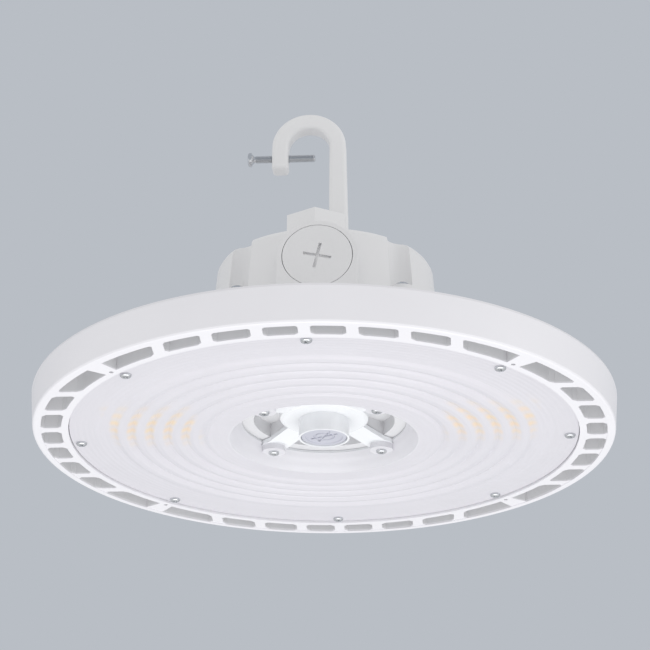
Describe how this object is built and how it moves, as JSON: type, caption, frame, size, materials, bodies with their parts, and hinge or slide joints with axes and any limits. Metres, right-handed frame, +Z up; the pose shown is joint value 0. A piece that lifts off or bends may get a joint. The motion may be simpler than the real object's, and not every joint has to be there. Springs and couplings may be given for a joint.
{
  "type": "high bay light",
  "caption": "Round high bay light: white finned heat sink with a ring of air slots, ribbed LED lens with a centre sensor, driver box on top and a cast hanging hook.",
  "frame": {"origin": "centre of the rim's lip, on the plane that the light rests on when it is put down", "axes": "+Z up from the lens to the hook; -Y towards the plugged port of the driver box; +X towards the hook's stem"},
  "size_m": [0.322, 0.322, 0.2056],
  "materials": {
    "housing_white": "fine white powder coat, satin",
    "seal_dark": "satin",
    "screw_steel": "plain",
    "lens_opal": "opal, satin",
    "board_white": "white solder mask",
    "chip_yellow": "phosphor",
    "bracket_white": "moulded",
    "cap_grey": "fine grain",
    "driver_metal": "folded sheet",
    "gland_black": "moulded"
  },
  "bodies": {
    "root": {"heat_sink": "housing_white", "driver_cover": "housing_white", "hook": "housing_white", "port_plug": "housing_white", "cover_gasket": "seal_dark", "plug_ring": "seal_dark", "hook_seal": "seal_dark", "cover_screws": "screw_steel", "hook_lock_nut": "screw_steel", "hook_set_screw": "screw_steel", "safety_screw": "screw_steel", "lens": "lens_opal", "lens_gasket": "seal_dark", "inner_gasket": "seal_dark", "lens_screws": "screw_steel", "inner_screws": "screw_steel", "led_board": "board_white", "led_chips": "chip_yellow", "sensor_bracket": "bracket_white", "sensor_cap": "cap_grey", "sensor_socket": "cap_grey", "led_driver": "driver_metal", "driver_screws": "screw_steel", "terminal_block": "bracket_white", "wire_grommet": "seal_dark", "cable_gland": "gland_black", "gland_nut": "gland_black", "gland_seal": "seal_dark"}
  },
  "joints": []
}
